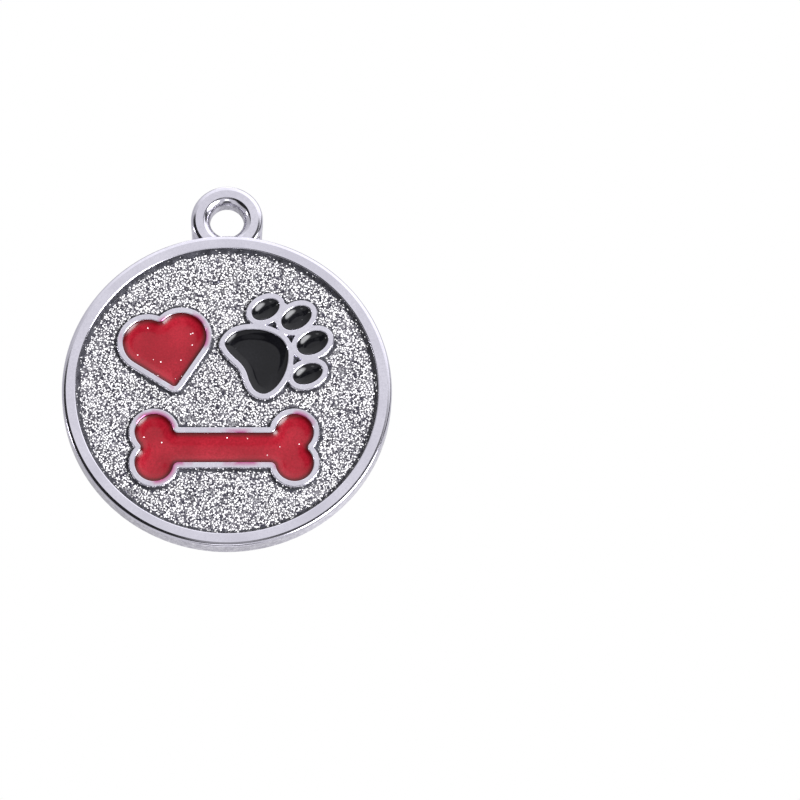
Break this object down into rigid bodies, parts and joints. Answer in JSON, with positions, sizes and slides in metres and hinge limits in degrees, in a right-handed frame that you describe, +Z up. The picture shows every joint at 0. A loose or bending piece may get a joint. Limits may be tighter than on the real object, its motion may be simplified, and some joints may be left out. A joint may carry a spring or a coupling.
{
  "type": "pet id tag",
  "caption": "Round metal pet tag with a cast hanging loop, a raised rim, enamelled motifs on a glitter field, and rows of engraved numbers on its plain back.",
  "frame": {"origin": "centre of the ring hole, halfway along its straight wall", "axes": "+Z up as the tag hangs, towards the top of the loop; -Y out of the enamelled front; +X to the right as the front is seen"},
  "size_m": [0.025, 0.0017, 0.0292],
  "materials": {
    "plated_metal": "polished bright plating",
    "glitter_resin": "silver glitter in clear resin",
    "black_enamel": "high gloss",
    "red_enamel": "high gloss",
    "black_paint": "satin paint"
  },
  "bodies": {
    "root": {"tag_body": "plated_metal", "glitter_field": "glitter_resin", "pad_fill": "black_enamel", "toe_fill_1": "black_enamel", "toe_fill_2": "black_enamel", "toe_fill_3": "black_enamel", "toe_fill_4": "black_enamel", "heart_fill": "red_enamel", "bone_fill": "red_enamel", "number_row_1": "black_paint", "number_row_2": "black_paint", "number_row_3": "black_paint"}
  },
  "joints": []
}
